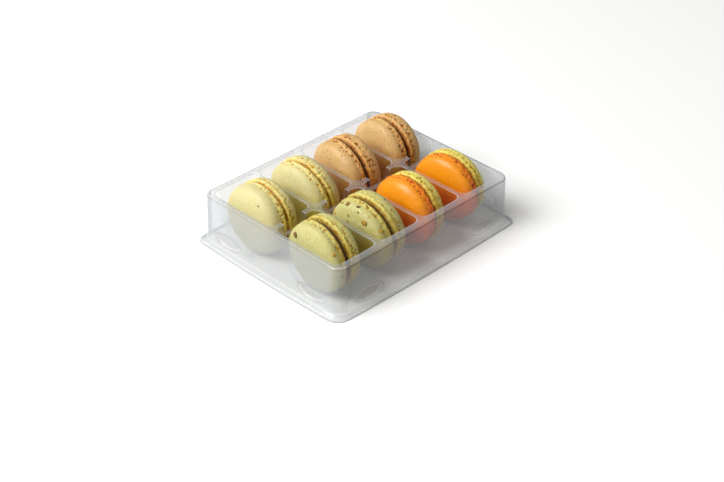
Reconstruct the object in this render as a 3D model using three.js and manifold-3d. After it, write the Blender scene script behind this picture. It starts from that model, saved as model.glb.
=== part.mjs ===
// A clear thermoformed pack with eight sandwich biscuits standing on edge in its pockets.
// Millimetres, +Z up. X runs along the pack's long side, Y across it, and the origin lies on the
// table under the middle of the pack.
import * as THREE from 'three';
import { mergeVertices } from 'three/addons/utils/BufferGeometryUtils.js';
import Module from 'manifold-3d';

const wasm = await Module();
wasm.setup();

// Pack: one sheet of film, drawn into a box with a flat deck, a skirt and a rim
const film = 0.6;
const deckLength = 150;
const deckWidth = 121;
const deckHeight = 35.2;
const deckCorner = 7.5;
const wallDraft = Math.tan(THREE.MathUtils.degToRad(1.7));
const foldRadius = 1.7;
const rimLength = 157.8;
const rimWidth = 127.2;
const rimCorner = 5;
const rimBow = 1.4;
const lipHeight = 1.6;
const ledgeHeight = 3.2;

// The film is drawn in simple bodies that meet at one level, with this gap between them
const cutHeight = 33.2;
const gap = 0.3;

// Pockets: two rows of four, each a cradle with a round bottom
const pocketsPerRow = 4;
const pocketPitch = 36.3;
const rowOffset = 28.4;
const mouthLength = 33.6;
const mouthWidth = 54;
const mouthCorner = 4.5;
const cradleRadius = 25;
const cradleFlat = 0.8;
const cradleBase = 30.4;
const pocketDraft = 2.6;
const bottomRounding = 1.8;
const cornerGrowth = 0.12;

// Saddles: low gaps in the divider between opposite pockets
const saddleLength = 17.5;
const saddleDepth = 9;
const saddleCorner = 3.5;
const saddleReach = 5;

// Snap dents: long shallow hollows near the foot of the skirt, two on each side
const dentHalfLength = 11;
const dentHalfHeight = 4.6;
const dentDepth = 1.6;
const dentLevel = 9.4;
const dentOffsetLong = 50.5;
const dentOffsetShort = 36.9;

// Biscuits
const aroundSteps = 24;
const footHeight = 3;
const footInset = 0.35;
const crease = 0.5;
const innerFaceInset = 1.8;
const outlineWave = 0.25;
const footWave = 0.22;

// Nut flakes: half thickness in millimetres, and breadth as a share of their length
const flakeThickness = 0.9;
const flakeBreadth = 0.75;

// Each biscuit: its row and slot, how it lies in its pocket, and its own size.
// shiftX and shiftY are from the pocket's middle, lean tips the top towards -X, and turn is about Z.
const biscuits = [
  { name: 'yellow_a', kind: 'yellow', row: 1, slot: 0, shiftX: 0.6, shiftY: -0.5, centre: 24,
    lean: -1.5, turn: 1, radius: 23, front: 14.4, back: 11.9, seam: 1.4, fullness: 3.1 },
  { name: 'yellow_b', kind: 'yellow', row: 1, slot: 1, shiftX: -0.5, shiftY: -0.2, centre: 25.1,
    lean: 7.2, turn: 1.8, radius: 23.4, front: 13.2, back: 13.8, seam: 1.4, fullness: 2.5 },
  { name: 'brown_a', kind: 'brown', row: 1, slot: 2, shiftX: 0, shiftY: -0.4, centre: 25.2,
    lean: 4.8, turn: -5.9, radius: 23, front: 13.9, back: 14.1, seam: 2.4, fullness: 3.3 },
  { name: 'brown_b', kind: 'brown', row: 1, slot: 3, shiftX: 0.4, shiftY: 0.3, centre: 25.3,
    lean: 1.3, turn: -2.7, radius: 23.2, front: 12.6, back: 14.4, seam: 2.4, fullness: 3.2 },
  { name: 'green_a', kind: 'green', row: -1, slot: 0, shiftX: -1.5, shiftY: -0.1, centre: 24,
    lean: 1.8, turn: -1.7, radius: 22.8, front: 12.3, back: 13.1, seam: 3.4, fullness: 3.3 },
  { name: 'green_b', kind: 'green', row: -1, slot: 1, shiftX: -1.3, shiftY: -0.7, centre: 24.5,
    lean: 6.5, turn: 1.8, radius: 22.9, front: 12.6, back: 14.2, seam: 2.8, fullness: 3.2 },
  { name: 'amber_a', kind: 'amber', row: -1, slot: 2, shiftX: -1.6, shiftY: -0.7, centre: 23.8,
    lean: 1.4, turn: 1.6, radius: 22.8, front: 13, back: 13, seam: 1.4, fullness: 2.6 },
  { name: 'amber_b', kind: 'amber', row: -1, slot: 3, shiftX: -1.9, shiftY: -0.4, centre: 24.3,
    lean: 1.8, turn: 7.5, radius: 23, front: 11.4, back: 12.4, seam: 1.4, fullness: 2.7 },
];

// Nut flakes baked into the green shells: which side, angle about the axis in degrees from +Y
// towards +Z, distance from the axis as a share of the radius, and half length in millimetres
const flakes = {
  green_a: [
    { side: 'front', angle: 46, reach: 0.78, size: 2.1 },
    { side: 'front', angle: 146, reach: 0.97, size: 1.5 },
    { side: 'front', angle: 22, reach: 0.49, size: 1.2 },
    { side: 'back', angle: 112, reach: 0.97, size: 1.3 },
  ],
  green_b: [
    { side: 'front', angle: 119, reach: 0.78, size: 2.3 },
    { side: 'front', angle: 72, reach: 0.96, size: 1.6 },
    { side: 'front', angle: 31, reach: 0.93, size: 1.4 },
    { side: 'front', angle: 68, reach: 0.54, size: 1.3 },
    { side: 'front', angle: 147, reach: 0.98, size: 1.7 },
    { side: 'back', angle: 74, reach: 0.97, size: 1.2 },
  ],
};

const finishes = {
  film: { color: 0xdfe5e8, roughness: 0.12, metalness: 0, transparent: true, opacity: 0.4 },
  yellow: { color: 0xf0ebaa, roughness: 0.7, metalness: 0 },
  brown: { color: 0xe6c08a, roughness: 0.7, metalness: 0 },
  green: { color: 0xdedc94, roughness: 0.7, metalness: 0 },
  amber: { color: 0xf89a12, roughness: 0.55, metalness: 0 },
  yellow_cream: { color: 0xc9a04c, roughness: 0.8, metalness: 0 },
  cocoa: { color: 0x3a1c0c, roughness: 0.6, metalness: 0 },
};

// The amber biscuits have a yellow back shell
const kinds = {
  yellow: { front: 'yellow', filling: 'yellow_cream', back: 'yellow', recess: 2 },
  brown: { front: 'brown', filling: 'cocoa', back: 'brown', recess: 2.6 },
  green: { front: 'green', filling: 'cocoa', back: 'green', recess: 2.4 },
  amber: { front: 'amber', filling: 'yellow_cream', back: 'yellow', recess: 2 },
};

// A closed body with shared corners, no flat triangles and its faces pointing out
function closedBody(geometry) {
  geometry.deleteAttribute('normal');
  geometry.deleteAttribute('uv');
  const merged = mergeVertices(geometry, 1e-4);
  const corners = merged.index.array;
  const kept = [];
  for (let i = 0; i < corners.length; i += 3) {
    const [a, b, c] = [corners[i], corners[i + 1], corners[i + 2]];
    if (a !== b && b !== c && a !== c) kept.push(a, b, c);
  }
  const position = merged.attributes.position;
  const [p, q, r] = [new THREE.Vector3(), new THREE.Vector3(), new THREE.Vector3()];
  let volume = 0;
  for (let i = 0; i < kept.length; i += 3) {
    p.fromBufferAttribute(position, kept[i]);
    q.fromBufferAttribute(position, kept[i + 1]);
    r.fromBufferAttribute(position, kept[i + 2]);
    volume += p.dot(q.cross(r));
  }
  merged.setIndex(volume < 0 ? kept.reverse() : kept);
  return merged;
}

function toManifold(geometry) {
  const body = closedBody(geometry);
  return new wasm.Manifold(new wasm.Mesh({
    numProp: 3,
    vertProperties: new Float32Array(body.attributes.position.array),
    triVerts: new Uint32Array(body.index.array),
  }));
}

function toGeometry(manifold) {
  const mesh = manifold.getMesh();
  const geometry = new THREE.BufferGeometry();
  geometry.setAttribute('position', new THREE.BufferAttribute(mesh.vertProperties, mesh.numProp));
  geometry.setIndex(new THREE.BufferAttribute(mesh.triVerts, 1));
  return geometry;
}

// A rectangle with arcs for corners and sides that bow out by a parabola, as a list of points
function roundedOutline(halfX, halfY, corner, bow = 0, cornerSteps = 3, sideSteps = 1) {
  const points = [];
  const arc = Math.PI / 2;
  for (let side = 0; side < 4; side += 1) {
    const signX = side === 0 || side === 3 ? 1 : -1;
    const signY = side < 2 ? 1 : -1;
    const middle = new THREE.Vector2(signX * (halfX - corner), signY * (halfY - corner));
    for (let step = 0; step <= cornerSteps; step += 1) {
      const angle = arc * (side + step / cornerSteps);
      const spoke = new THREE.Vector2(Math.cos(angle), Math.sin(angle)).multiplyScalar(corner);
      points.push(middle.clone().add(spoke));
    }
    const along = side % 2 === 0 ? halfX - corner : halfY - corner;
    const out = new THREE.Vector2(Math.cos(arc * (side + 1)), Math.sin(arc * (side + 1)));
    const forward = new THREE.Vector2(-out.y, out.x);
    const across = side % 2 === 0 ? halfY : halfX;
    for (let step = 1; step < sideSteps; step += 1) {
      const t = (2 * step) / sideSteps - 1;
      const reach = across + bow * (1 - t * t);
      points.push(out.clone().multiplyScalar(reach).addScaledVector(forward, t * along));
    }
  }
  return points;
}

// A closed body through outlines of equal count, each lying flat at its own height
function loft(levels) {
  const positions = [];
  const faces = [];
  const count = levels[0].outline.length;
  for (const { outline, z } of levels) {
    for (const point of outline) positions.push(point.x, point.y, z);
  }
  for (let level = 0; level < levels.length - 1; level += 1) {
    for (let i = 0; i < count; i += 1) {
      const a = level * count + i;
      const b = level * count + ((i + 1) % count);
      faces.push(a, b, b + count, a, b + count, a + count);
    }
  }
  const top = (levels.length - 1) * count;
  for (let i = 1; i < count - 1; i += 1) {
    faces.push(0, i + 1, i);
    faces.push(top, top + i, top + i + 1);
  }
  const geometry = new THREE.BufferGeometry();
  geometry.setAttribute('position', new THREE.Float32BufferAttribute(positions, 3));
  geometry.setIndex(faces);
  return geometry;
}

// The bell of the pack: lip, ledge, skirt and deck. inset is 0 for its outside, or the film's
// thickness for its inside.
function bell(inset) {
  const down = inset > 0 ? inset : 0;
  const bottom = inset > 0 ? -1 : 0;
  const wall = (z, extra) => ({
    z: z - down,
    outline: roundedOutline(
      deckLength / 2 + wallDraft * (deckHeight - z) + extra - inset,
      deckWidth / 2 + wallDraft * (deckHeight - z) + extra - inset,
      deckCorner + extra - inset, 0, 3, 3),
  });
  const rim = (z, extra) => ({
    z,
    outline: roundedOutline(
      rimLength / 2 + extra - inset, rimWidth / 2 + extra - inset, rimCorner + extra - inset,
      rimBow, 3, 3),
  });
  return loft([
    rim(bottom, 0),
    rim(lipHeight - down, -0.3),
    rim(lipHeight + 0.5 - down, -0.9),
    wall(ledgeHeight, 0.9),
    wall(ledgeHeight + 1.8, 0),
    wall(deckHeight - foldRadius, 0),
    wall(deckHeight - 0.3 * foldRadius, -0.3 * foldRadius),
    wall(deckHeight, -foldRadius),
  ]);
}

// One pocket, seen from the middle of its mouth: a tub whose ends follow an arc about an axis along
// X. skin is 0 for its hollow and the film's thickness for its outside.
function pocket(skin) {
  const radius = cradleRadius + skin;
  const centre = film - cradleFlat + cradleRadius;
  const lowest = film - skin;
  const flatAngle = Math.acos((centre - lowest) / radius);
  const section = (z, halfWidth, rounding) => {
    const halfLength = cradleBase / 2 + (pocketDraft / 2) * (z / deckHeight) - rounding;
    const corner = Math.min(mouthCorner + cornerGrowth * (deckHeight - z),
      0.95 * halfWidth, 0.55 * halfLength);
    return { z, outline: roundedOutline(halfLength + skin, halfWidth, corner + skin) };
  };
  const levels = [];
  for (const share of [0, 0.2, 0.42, 0.66, 1]) {
    const angle = flatAngle + share * (Math.PI / 2 - flatAngle);
    const rounding = bottomRounding * (1 - Math.sin(angle)) ** 2;
    levels.push(section(centre - radius * Math.cos(angle), radius * Math.sin(angle), rounding));
  }
  const lipStart = deckHeight - 1;
  const flare = (lipStart - centre) / (deckHeight - centre);
  const lipHalf = cradleRadius + flare * (mouthWidth / 2 - 0.6 - cradleRadius);
  levels.push(section(lipStart, lipHalf + skin, 0));
  if (skin === 0) {
    const mouth = roundedOutline(mouthLength / 2, mouthWidth / 2, mouthCorner);
    levels.push({ z: deckHeight, outline: mouth }, { z: deckHeight + 1, outline: mouth });
  } else {
    levels.push(section(deckHeight - 0.3, lipHalf + skin, 0));
  }
  return loft(levels);
}

// The gap in the divider, a flat-bottomed groove with round lower corners that runs along Y
function saddle(skin) {
  const half = saddleLength / 2 + skin;
  const floor = deckHeight - saddleDepth - skin;
  const top = skin === 0 ? deckHeight + 1 : deckHeight - 0.3;
  const corner = saddleCorner + skin;
  const outline = new THREE.Shape();
  outline.moveTo(-half, top);
  outline.lineTo(-half, floor + corner);
  outline.absarc(-half + corner, floor + corner, corner, Math.PI, 1.5 * Math.PI, false);
  outline.absarc(half - corner, floor + corner, corner, 1.5 * Math.PI, 2 * Math.PI, false);
  outline.lineTo(half, top);
  const depth = 2 * saddleReach;
  const geometry = new THREE.ExtrudeGeometry(outline, { depth, bevelEnabled: false, curveSegments: 3 });
  geometry.translate(0, 0, -saddleReach);
  geometry.rotateX(Math.PI / 2);
  return geometry;
}

// A dent is a flattened ball set on the skirt's face; skin makes the ball for the film's inside
function dent(skin, x, y, alongX) {
  const geometry = new THREE.SphereGeometry(1, 8, 4);
  const length = dentHalfLength + skin;
  const depth = dentDepth + skin;
  const height = dentHalfHeight + skin;
  geometry.rotateX(Math.PI / 2);
  geometry.scale(alongX ? length : depth, alongX ? depth : length, height);
  geometry.translate(x, y, dentLevel);
  return geometry;
}

// The film without its pockets: skirt, dents and deck in one
function bareSheet() {
  let outside = toManifold(bell(0));
  let inside = toManifold(bell(film));
  const faceX = deckLength / 2 + wallDraft * (deckHeight - dentLevel);
  const faceY = deckWidth / 2 + wallDraft * (deckHeight - dentLevel);
  for (const signX of [-1, 1]) {
    for (const signY of [-1, 1]) {
      const onLong = [signX * dentOffsetLong, signY * faceY, true];
      const onShort = [signX * faceX, signY * dentOffsetShort, false];
      for (const place of [onLong, onShort]) {
        outside = outside.subtract(toManifold(dent(0, ...place)));
        inside = inside.subtract(toManifold(dent(film, ...place)));
      }
    }
  }
  return outside.subtract(inside);
}

// The part of a body below, or above, the level where the film is cut
function cutLevel(body, keepBelow) {
  const level = keepBelow ? cutHeight - gap / 2 : cutHeight + gap / 2;
  return body.trimByPlane([0, 0, keepBelow ? -1 : 1], keepBelow ? -level : level);
}

// The film as simple bodies a hair apart: the deck with the mouths' lips, the skirt, eight pockets
// and the four saddles between them
function filmBodies() {
  const sheet = bareSheet();
  const bodies = [['skirt', cutLevel(sheet, true)]];
  let deck = sheet;
  const hollows = [];
  for (let slot = 0; slot < pocketsPerRow; slot += 1) {
    const x = (slot - (pocketsPerRow - 1) / 2) * pocketPitch;
    const groove = toManifold(saddle(0)).translate([x, 0, 0]);
    const channel = toManifold(saddle(film)).translate([x, 0, 0]);
    deck = deck.add(channel);
    hollows.push(groove);
    let bridge = channel.subtract(groove);
    for (const [row, y] of [['front', -rowOffset], ['back', rowOffset]]) {
      const place = (skin) => toManifold(pocket(skin)).translate([x, y, 0]);
      deck = deck.add(place(film));
      hollows.push(place(0));
      const tub = place(film).subtract(place(0)).subtract(groove);
      bodies.push([`pocket_${row}_${slot + 1}`, cutLevel(tub, true)]);
      bridge = bridge.subtract(place(film + gap));
    }
    bodies.push([`saddle_${slot + 1}`, cutLevel(bridge, true)]);
  }
  for (const hollow of hollows) deck = deck.subtract(hollow);
  bodies.push(['deck', cutLevel(deck, false)]);
  return bodies;
}

// A repeatable number from -1 to 1 for a whole-number key
function scatter(key) {
  const value = Math.sin(key * 127.1 + 11.7) * 43758.5453;
  return 2 * (value - Math.floor(value)) - 1;
}

// A shell's half outline as (distance from the axis, height over the seam's middle): a flat inner
// face, a ruffled foot, a crease and a dome whose bulge is a superellipse of power fullness
function shellProfile(biscuit, thickness) {
  const { radius, seam, fullness } = biscuit;
  const start = seam / 2 + footHeight;
  const rise = thickness - start;
  const points = [
    new THREE.Vector2(0, seam / 2),
    new THREE.Vector2(radius - innerFaceInset, seam / 2),
    new THREE.Vector2(radius - footInset, seam / 2 + 0.4 * footHeight),
    new THREE.Vector2(radius - crease, seam / 2 + 0.85 * footHeight),
  ];
  for (const degrees of [0, 28, 48, 68]) {
    const height = Math.sin(THREE.MathUtils.degToRad(degrees));
    const spread = (1 - height ** fullness) ** (1 / fullness);
    points.push(new THREE.Vector2(radius * spread, start + rise * height));
  }
  points.push(new THREE.Vector2(0, thickness));
  return points;
}

// The outline of a piped biscuit is not a true circle: two slow waves run round it, and the foot
// is ruffled. The axis of the body lies along X.
function makeUneven(geometry, biscuit, seed, ruffled) {
  const position = geometry.attributes.position;
  for (let i = 0; i < position.count; i += 1) {
    const [x, y, z] = [position.getX(i), position.getY(i), position.getZ(i)];
    const distance = Math.hypot(y, z);
    const angle = Math.atan2(z, y);
    const share = distance / biscuit.radius;
    let push = outlineWave * share * (Math.sin(2 * angle + seed) + 0.6 * Math.sin(3 * angle + 2 * seed));
    const overSeam = Math.abs(x) - biscuit.seam / 2;
    if (ruffled && share > 0.8 && overSeam < footHeight - 0.1) {
      const step = Math.round((angle / (2 * Math.PI)) * aroundSteps + aroundSteps);
      push += footWave * scatter(step + 40 * seed + Math.round(overSeam));
    }
    const scale = distance > 0 ? (distance + push) / distance : 1;
    position.setXYZ(i, x, y * scale, z * scale);
  }
  return geometry;
}

// Turns a half outline about the X axis. direction is -1 for the front shell and 1 for the back.
function turned(points, direction) {
  const geometry = new THREE.LatheGeometry(points, aroundSteps);
  geometry.rotateZ(-Math.PI / 2);
  geometry.scale(direction, 1, 1);
  return closedBody(geometry);
}

// A nut flake: a thick chip with pointed ends, half sunk in the dome and lying along it. The dome's
// slope at the flake is that of the superellipse in shellProfile.
function flakeGeometry(biscuit, flake, thickness, direction) {
  const { radius, seam, fullness } = biscuit;
  const angle = THREE.MathUtils.degToRad(flake.angle);
  const start = seam / 2 + footHeight;
  const rise = thickness - start;
  const height = (1 - flake.reach ** fullness) ** (1 / fullness);
  const outward = (height ** (fullness - 1)) / rise;
  const sideways = (flake.reach ** (fullness - 1)) / radius;
  const normal = new THREE.Vector3(
    direction * outward, Math.cos(angle) * sideways, Math.sin(angle) * sideways).normalize();
  const geometry = new THREE.OctahedronGeometry(1, 0);
  geometry.scale(flakeThickness, flake.size, flakeBreadth * flake.size);
  geometry.rotateX(angle);
  const lying = new THREE.Quaternion().setFromUnitVectors(new THREE.Vector3(1, 0, 0), normal);
  geometry.applyQuaternion(lying);
  geometry.translate(
    direction * (start + rise * height),
    radius * flake.reach * Math.cos(angle),
    radius * flake.reach * Math.sin(angle));
  return geometry;
}

function shellGeometry(biscuit, side, seed) {
  const thickness = side === 'front' ? biscuit.front : biscuit.back;
  const direction = side === 'front' ? -1 : 1;
  const plain = makeUneven(turned(shellProfile(biscuit, thickness), direction), biscuit, seed, true);
  const own = (flakes[biscuit.name] ?? []).filter((flake) => flake.side === side);
  if (own.length === 0) return plain;
  let shell = toManifold(plain);
  for (const flake of own) {
    shell = shell.add(toManifold(flakeGeometry(biscuit, flake, thickness, direction)));
  }
  return toGeometry(shell);
}

// The filling is a disc that stops short of the shells' edges
function fillingGeometry(biscuit, seed) {
  const half = biscuit.seam / 2 - gap;
  const rim = biscuit.radius - kinds[biscuit.kind].recess;
  const points = [
    new THREE.Vector2(0, -half),
    new THREE.Vector2(rim, -half),
    new THREE.Vector2(rim, half),
    new THREE.Vector2(0, half),
  ];
  return makeUneven(turned(points, 1), biscuit, seed, false);
}

function namedMesh(name, geometry, finish) {
  const mesh = new THREE.Mesh(geometry, new THREE.MeshStandardMaterial(finishes[finish]));
  mesh.name = name;
  return mesh;
}

function biscuitGroup(biscuit, index) {
  const seed = index + 1;
  const kind = kinds[biscuit.kind];
  const standing = new THREE.Group();
  standing.add(
    namedMesh(`${biscuit.name}_front`, shellGeometry(biscuit, 'front', seed), kind.front),
    namedMesh(`${biscuit.name}_filling`, fillingGeometry(biscuit, seed), kind.filling),
    namedMesh(`${biscuit.name}_back`, shellGeometry(biscuit, 'back', seed), kind.back),
  );
  standing.position.set(
    (biscuit.slot - (pocketsPerRow - 1) / 2) * pocketPitch + biscuit.shiftX,
    biscuit.row * rowOffset + biscuit.shiftY,
    biscuit.centre);
  const lean = THREE.MathUtils.degToRad(-biscuit.lean);
  const turn = THREE.MathUtils.degToRad(biscuit.turn);
  standing.rotation.set(0, lean, turn, 'ZYX');
  return standing;
}

const group = new THREE.Group();
for (const [name, body] of filmBodies()) group.add(namedMesh(name, toGeometry(body), 'film'));
biscuits.forEach((biscuit, index) => group.add(biscuitGroup(biscuit, index)));

export default group;
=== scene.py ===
"""A clear film tray with eight macarons standing on edge in its pockets, on a white table.

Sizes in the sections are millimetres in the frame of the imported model: X runs along the tray's long
side, Y across it and Z up, with the origin on the table under the middle of the tray.
"""
import math
import bmesh
import bpy
import numpy as np
from mathutils import Matrix, Vector


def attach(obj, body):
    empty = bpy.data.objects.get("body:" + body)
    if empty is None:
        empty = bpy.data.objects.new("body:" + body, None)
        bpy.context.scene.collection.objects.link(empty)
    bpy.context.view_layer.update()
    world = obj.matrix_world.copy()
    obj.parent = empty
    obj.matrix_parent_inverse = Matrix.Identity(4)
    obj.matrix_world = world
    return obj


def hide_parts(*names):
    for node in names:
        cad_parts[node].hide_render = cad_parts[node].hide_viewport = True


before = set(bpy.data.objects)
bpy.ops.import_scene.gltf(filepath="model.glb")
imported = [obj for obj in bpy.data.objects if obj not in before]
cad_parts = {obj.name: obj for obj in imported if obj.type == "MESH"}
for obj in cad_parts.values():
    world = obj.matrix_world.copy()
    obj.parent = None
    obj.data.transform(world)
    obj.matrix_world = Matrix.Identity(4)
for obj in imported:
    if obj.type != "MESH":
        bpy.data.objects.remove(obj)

MM = 0.001
scene = bpy.context.scene
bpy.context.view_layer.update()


def add_object(name, data):
    item = bpy.data.objects.new(name, data)
    scene.collection.objects.link(item)
    return item


# Camera
# It looks down on the tray's corner from the green and yellow end, at about 34 degrees, from a metre
# away with a long lens, so the long edges stay nearly parallel.
photo_width = 724
focal_pixels = 1661.917
look_azimuth = math.radians(-44.769)
look_elevation = math.radians(33.990)
camera_distance = 1007.861 * MM
look_at = Vector((-25.815, -30.073, 19.19)) * MM

camera_data = bpy.data.cameras.new("camera")
camera = add_object("camera", camera_data)
camera_data.sensor_width = 36.0
camera_data.lens = camera_data.sensor_width * focal_pixels / photo_width
camera_data.clip_start = 0.01
camera_data.clip_end = 20.0
towards_camera = Vector((
    math.sin(look_azimuth) * math.cos(look_elevation),
    -math.cos(look_azimuth) * math.cos(look_elevation),
    math.sin(look_elevation)))
camera.location = look_at + camera_distance * towards_camera
camera.rotation_euler = towards_camera.to_track_quat("Z", "Y").to_euler()
scene.camera = camera


# The tray
# One sheet of clear polyester, drawn hot into a box: a flat deck with two rows of four pockets whose
# bottoms are arcs, low saddles in the divider between opposite pockets, a skirt with shallow snap
# dents, and a narrow ledge with a turned-down lip.
film = 0.35
deck_length = 150.0
deck_width = 121.0
deck_height = 35.2
deck_corner = 7.5
wall_draft = math.tan(math.radians(1.7))
fold_radius = 1.7
flat_x = deck_length / 2 - fold_radius
flat_y = deck_width / 2 - fold_radius
flat_corner = deck_corner - fold_radius
rim_length = 157.8
rim_width = 127.2
rim_corner = 5.0
rim_bow = 1.24
near_rim_corner = 9.0

# The pockets: mouths with round corners, over cradles that are arcs
pockets_per_row = 4
pocket_pitch = 36.3
row_offset = 28.4
mouth_length = 33.6
mouth_width = 54.0
mouth_corner = 4.5
straight_x = mouth_length / 2 - mouth_corner
straight_y = mouth_width / 2 - mouth_corner
lip_fold = 1.0
lip_flare = 0.7
lip_inset = 0.6
cradle_radius = 25.0
cradle_centre = 24.8
cradle_base = 30.4
spine_half = 7.0
pocket_draft = 2.6
bottom_rounding = 1.8
corner_growth = 0.12
corner_share_x, corner_share_y = 0.55, 0.95

# The saddles: flat floors with round lower corners, between steep walls of clear film
saddle_half = 8.75
saddle_floor = 26.2
saddle_corner = 3.5
saddle_fold = 1.5
saddle_wall = 8.73
saddle_steepness = 70.0
clear_wall_band = 0.12

# The snap dents: half length, half height and level, and how far along the sides they lie
dent_mouth = (12.2, 5.0, 9.7)
dent_floor = (10.0, 3.2, 8.9)
dent_depth = 1.5
dent_on_long_side = 50.5
dent_on_short_side = 36.9
far_from_dent = 3.0

# Lines up a pocket: how many on each side, and where they lie near a saddle, where they keep their X
outer_lines = 25
side_lines = 27
corner_lines = 7
saddle_lines = (0, 1.9, 3.7, 5.2, 6.2, 7.0, 7.7, 8.2, 8.55, 8.73, 8.8, 8.9, 9.05, 9.25, 9.55, 9.95, 10.8)
kept_lines = 9.95
kept_share = 0.85

# Rings round a pocket, as shares: in to the spine of its bottom, up its wall, and out along the deck
bottom_rings = (1.0, 0.66, 0.33)
cradle_rings = 12
wall_rings = (0.08, 0.14, 0.2, 0.27, 0.4, 0.6, 0.8, 1.0)
deck_rings = (0.12, 0.5, 1.0)

# Haze: how milky each part of the film is, where 1 is film that was hardly stretched
plate_haze = 0.52
border_haze = 0.95
ledge_haze = 1.35
far_wall_haze = 0.35
near_wall_haze = 0.85
short_side_haze = 1.25
outer_wall_haze = 0.35

# Painted highlights and painted shade on folds and dents: strengths, and where they lie in degrees or
# millimetres
lip_glints = (0.0, 0.4, 0.8, 0.4)
lip_glint_ends = 0.5
side_fold_glint, corner_fold_glint = 0.3, 0.8
fold_glint_at, fold_shadow_at, fold_mark_width = 25.0, 62.0, 12.0
short_fold_shadow = 0.5
trough_glint, trough_glint_width = 0.3, 0.5
post_glint, post_glint_at, post_glint_width = 0.8, 9.1, 0.17
post_glint_foot, post_glint_rise = 25.0, 5.0
long_dent_shadow, short_dent_shadow = 0.3, 0.08

# Rows down the skirt, then its foot, ledge and lip as level, step outwards, haze, painted highlight and
# painted shade
fold_rows = 9
wall_levels = (33.5, 30.5, 26, 21, 17, 15.4, 14.8, 14.2, 13.6, 13.0, 12.4, 11.8, 11.0, 10.0, 8.9, 7.8, 6.9,
               6.2, 5.6, 5.1, 4.7)
wall_foot = 4.4
foot_rows = ((4.3, 0.15, 1.0, 0.0, 0.0), (3.65, 0.5, 1.0, 0.15, 0.0), (3.35, 1.0, 1.2, 0.0, 0.0))
rim_rows = ((2.5, -1.25, ledge_haze, 0.0, 0.0), (2.25, -0.8, 1.0, 0.3, 0.0), (1.9, -0.42, 0.8, 0.7, 0.0),
            (1.4, -0.2, 0.6, 0.4, 0.0), (0.7, -0.08, 1.2, 0.0, 0.1), (0.35, 0.0, 1.5, 0.0, 0.3),
            (0.07, 0.0, 1.5, 0.0, 0.5))

# Corners closer than this are welded, and thinner faces removed, in metres
weld_distance = 2e-7
sliver = 1e-8


def together(*parts):
    """Coordinates side by side in a new last axis."""
    return np.stack(parts, axis=-1)


def full_turn(steps):
    return np.linspace(0, 2 * math.pi, steps, endpoint=False)


def unit(vectors):
    return vectors / np.clip(np.linalg.norm(vectors, axis=-1, keepdims=True), 1e-9, None)


def grid_quads(rows, columns, closed):
    """Quads between a grid's neighbouring rows and columns. closed joins its last column to the first."""
    last = columns if closed else columns - 1
    row, column = np.meshgrid(np.arange(rows - 1), np.arange(last), indexing="ij")
    here = row * columns + column
    beside = row * columns + (column + 1) % columns
    return np.stack([here, beside, beside + columns, here + columns], axis=-1).reshape(-1, 4)


def make_piece(name, patches, up=False, **values):
    """One mesh from (points, quads) patches in millimetres. Corners that meet are welded, and faces are
    turned outwards, or so that most of them face up. values are numbers on the points, in patch order."""
    points = np.concatenate([patch[0].reshape(-1, 3) for patch in patches])
    starts = np.cumsum([0] + [patch[0].size // 3 for patch in patches[:-1]])
    quads = np.concatenate([patch[1] + start for patch, start in zip(patches, starts)])
    mesh = bpy.data.meshes.new(name)
    mesh.from_pydata((points * MM).tolist(), [], quads.tolist())
    for key, numbers in values.items():
        mesh.attributes.new(key, "FLOAT", "POINT").data.foreach_set("value", np.ravel(numbers))
    body = bmesh.new()
    body.from_mesh(mesh)
    bmesh.ops.remove_doubles(body, verts=body.verts, dist=weld_distance)
    bmesh.ops.dissolve_degenerate(body, dist=sliver, edges=body.edges)
    bmesh.ops.recalc_face_normals(body, faces=body.faces)
    if up and sum(face.normal.z * face.calc_area() for face in body.faces) < 0:
        bmesh.ops.reverse_faces(body, faces=body.faces)
    for face in body.faces:
        face.smooth = True
    body.to_mesh(mesh)
    body.free()
    return add_object(name, mesh)


def pocket_middle(slot):
    """Where a pocket's middle lies along X. Slots count from the yellow and green end."""
    return (slot - (pockets_per_row - 1) / 2) * pocket_pitch


def pocket_columns():
    """Where the lines that run up a pocket start. Going round from the outer side's right end: straight
    sides are steps along a line, and corners are steps of a quarter circle. Returns, for each line, its
    place along X at the mouth, its share along Y, and the direction it faces."""
    outer = np.linspace(1, -1, outer_lines) * straight_x
    near_saddle = np.array([*saddle_lines, straight_x])
    inner = np.concatenate([-near_saddle[:0:-1], near_saddle])
    side = np.linspace(1, -1, side_lines)
    turn = np.linspace(0, math.pi / 2, corner_lines + 2)[1:-1]

    def corner(start):
        return np.cos(start + turn), np.sin(start + turn)

    runs = (
        (outer, 1.0, 0.0, 1.0), (-straight_x, 1.0, *corner(math.pi / 2)),
        (-straight_x, side, -1.0, 0.0), (-straight_x, -1.0, *corner(math.pi)),
        (inner, -1.0, 0.0, -1.0), (straight_x, -1.0, *corner(1.5 * math.pi)),
        (straight_x, -side, 1.0, 0.0), (straight_x, 1.0, *corner(0.0)))
    return [np.concatenate(part) for part in zip(*(np.broadcast_arrays(*run) for run in runs))]


along, share, face_x, face_y = pocket_columns()


def pocket_ring(half_x, half_y, corner):
    """A rectangle with round corners. Its lines near the saddle keep the same X on every ring, unless
    the ring is too short for them."""
    side_x, side_y = half_x - corner, half_y - corner
    kept = min(kept_lines, kept_share * side_x)
    places = np.interp(np.abs(along), [0, kept_lines, straight_x], [0, kept, side_x])
    return together(np.sign(along) * places + face_x * corner, share * side_y + face_y * corner)


def saddle_height(x):
    """Height of a saddle's trough at x from its middle: a flat floor, round lower corners, steep walls."""
    reach = np.clip(np.abs(x) - (saddle_half - saddle_corner), 0, saddle_corner)
    bowl = saddle_corner - np.sqrt(np.clip(saddle_corner ** 2 - reach ** 2, 0, None))
    wall = np.clip(np.abs(x) - saddle_wall, 0, None) * saddle_steepness
    return saddle_floor + bowl + wall


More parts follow.
